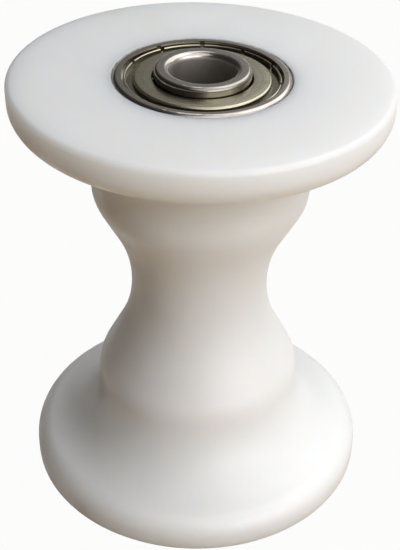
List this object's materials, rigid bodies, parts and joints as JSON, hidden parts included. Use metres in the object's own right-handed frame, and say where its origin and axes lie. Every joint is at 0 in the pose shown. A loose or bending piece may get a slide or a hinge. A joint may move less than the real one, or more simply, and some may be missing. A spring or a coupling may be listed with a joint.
{
  "type": "saddle guide roller",
  "caption": "White plastic pulley wheel shaped like an hourglass, with a flange and a shielded ball bearing at each end; it turns on an axle bolt and guides a cable, bar or pipe.",
  "frame": {"origin": "middle of the wheel, on the turning axis, halfway between the two clamp faces", "axes": "+Z along the turning axis to the upper end; +Y away from the camera; +X to the camera's right"},
  "size_m": [0.0472, 0.0472, 0.0608],
  "materials": {
    "white_nylon": "smooth moulded or turned white nylon with a soft sheen",
    "ring_steel": "ground bearing steel, lightly polished",
    "shield_steel": "pressed sheet steel with a slightly yellow tint",
    "cage_steel": "pressed strip steel",
    "ball_steel": "polished hardened steel",
    "tube_steel": "plain drawn steel tube"
  },
  "bodies": {
    "axle_sleeve": {"upper_inner_ring": "ring_steel", "lower_inner_ring": "ring_steel", "distance_tube": "tube_steel"},
    "roller": {"roller_body": "white_nylon", "upper_outer_ring": "ring_steel", "upper_outer_shield": "shield_steel", "upper_inner_shield": "shield_steel", "lower_outer_ring": "ring_steel", "lower_outer_shield": "shield_steel", "lower_inner_shield": "shield_steel"},
    "upper_cage": {"upper_cage_outer_half": "cage_steel", "upper_cage_inner_half": "cage_steel", "upper_cage_rivets": "cage_steel"},
    "upper_ball_1": {"upper_ball_1": "ball_steel"},
    "upper_ball_2": {"upper_ball_2": "ball_steel"},
    "upper_ball_3": {"upper_ball_3": "ball_steel"},
    "upper_ball_4": {"upper_ball_4": "ball_steel"},
    "upper_ball_5": {"upper_ball_5": "ball_steel"},
    "upper_ball_6": {"upper_ball_6": "ball_steel"},
    "upper_ball_7": {"upper_ball_7": "ball_steel"},
    "lower_cage": {"lower_cage_outer_half": "cage_steel", "lower_cage_inner_half": "cage_steel", "lower_cage_rivets": "cage_steel"},
    "lower_ball_1": {"lower_ball_1": "ball_steel"},
    "lower_ball_2": {"lower_ball_2": "ball_steel"},
    "lower_ball_3": {"lower_ball_3": "ball_steel"},
    "lower_ball_4": {"lower_ball_4": "ball_steel"},
    "lower_ball_5": {"lower_ball_5": "ball_steel"},
    "lower_ball_6": {"lower_ball_6": "ball_steel"},
    "lower_ball_7": {"lower_ball_7": "ball_steel"}
  },
  "joints": [
    {"name": "roller_spin", "type": "hinge", "parent": "axle_sleeve", "child": "roller", "pos_m": [0, 0, 0], "axis": [0, 0, 1], "continuous": true},
    {"name": "upper_cage_turn", "type": "hinge", "parent": "axle_sleeve", "child": "upper_cage", "pos_m": [0, 0, 0.02591], "axis": [0, 0, 1], "continuous": true},
    {"name": "upper_ball_1_roll", "type": "hinge", "parent": "upper_cage", "child": "upper_ball_1", "pos_m": [0.0075, 0, 0.02591], "axis": [0, 0, 1], "continuous": true},
    {"name": "upper_ball_2_roll", "type": "hinge", "parent": "upper_cage", "child": "upper_ball_2", "pos_m": [0.00468, 0.00586, 0.02591], "axis": [0, 0, 1], "continuous": true},
    {"name": "upper_ball_3_roll", "type": "hinge", "parent": "upper_cage", "child": "upper_ball_3", "pos_m": [-0.00167, 0.00731, 0.02591], "axis": [0, 0, 1], "continuous": true},
    {"name": "upper_ball_4_roll", "type": "hinge", "parent": "upper_cage", "child": "upper_ball_4", "pos_m": [-0.00676, 0.00325, 0.02591], "axis": [0, 0, 1], "continuous": true},
    {"name": "upper_ball_5_roll", "type": "hinge", "parent": "upper_cage", "child": "upper_ball_5", "pos_m": [-0.00676, -0.00325, 0.02591], "axis": [0, 0, 1], "continuous": true},
    {"name": "upper_ball_6_roll", "type": "hinge", "parent": "upper_cage", "child": "upper_ball_6", "pos_m": [-0.00167, -0.00731, 0.02591], "axis": [0, 0, 1], "continuous": true},
    {"name": "upper_ball_7_roll", "type": "hinge", "parent": "upper_cage", "child": "upper_ball_7", "pos_m": [0.00468, -0.00586, 0.02591], "axis": [0, 0, 1], "continuous": true},
    {"name": "lower_cage_turn", "type": "hinge", "parent": "axle_sleeve", "child": "lower_cage", "pos_m": [0, 0, -0.02591], "axis": [0, 0, 1], "continuous": true},
    {"name": "lower_ball_1_roll", "type": "hinge", "parent": "lower_cage", "child": "lower_ball_1", "pos_m": [0.0075, 0, -0.02591], "axis": [0, 0, 1], "continuous": true},
    {"name": "lower_ball_2_roll", "type": "hinge", "parent": "lower_cage", "child": "lower_ball_2", "pos_m": [0.00468, 0.00586, -0.02591], "axis": [0, 0, 1], "continuous": true},
    {"name": "lower_ball_3_roll", "type": "hinge", "parent": "lower_cage", "child": "lower_ball_3", "pos_m": [-0.00167, 0.00731, -0.02591], "axis": [0, 0, 1], "continuous": true},
    {"name": "lower_ball_4_roll", "type": "hinge", "parent": "lower_cage", "child": "lower_ball_4", "pos_m": [-0.00676, 0.00325, -0.02591], "axis": [0, 0, 1], "continuous": true},
    {"name": "lower_ball_5_roll", "type": "hinge", "parent": "lower_cage", "child": "lower_ball_5", "pos_m": [-0.00676, -0.00325, -0.02591], "axis": [0, 0, 1], "continuous": true},
    {"name": "lower_ball_6_roll", "type": "hinge", "parent": "lower_cage", "child": "lower_ball_6", "pos_m": [-0.00167, -0.00731, -0.02591], "axis": [0, 0, 1], "continuous": true},
    {"name": "lower_ball_7_roll", "type": "hinge", "parent": "lower_cage", "child": "lower_ball_7", "pos_m": [0.00468, -0.00586, -0.02591], "axis": [0, 0, 1], "continuous": true}
  ],
  "couplings": [
    {"joint": "upper_cage_turn", "follows": "roller_spin", "ratio": 0.6323},
    {"joint": "upper_ball_1_roll", "follows": "roller_spin", "ratio": 1.7573},
    {"joint": "upper_ball_2_roll", "follows": "roller_spin", "ratio": 1.7573},
    {"joint": "upper_ball_3_roll", "follows": "roller_spin", "ratio": 1.7573},
    {"joint": "upper_ball_4_roll", "follows": "roller_spin", "ratio": 1.7573},
    {"joint": "upper_ball_5_roll", "follows": "roller_spin", "ratio": 1.7573},
    {"joint": "upper_ball_6_roll", "follows": "roller_spin", "ratio": 1.7573},
    {"joint": "upper_ball_7_roll", "follows": "roller_spin", "ratio": 1.7573},
    {"joint": "lower_cage_turn", "follows": "roller_spin", "ratio": 0.6323},
    {"joint": "lower_ball_1_roll", "follows": "roller_spin", "ratio": 1.7573},
    {"joint": "lower_ball_2_roll", "follows": "roller_spin", "ratio": 1.7573},
    {"joint": "lower_ball_3_roll", "follows": "roller_spin", "ratio": 1.7573},
    {"joint": "lower_ball_4_roll", "follows": "roller_spin", "ratio": 1.7573},
    {"joint": "lower_ball_5_roll", "follows": "roller_spin", "ratio": 1.7573},
    {"joint": "lower_ball_6_roll", "follows": "roller_spin", "ratio": 1.7573},
    {"joint": "lower_ball_7_roll", "follows": "roller_spin", "ratio": 1.7573}
  ]
}
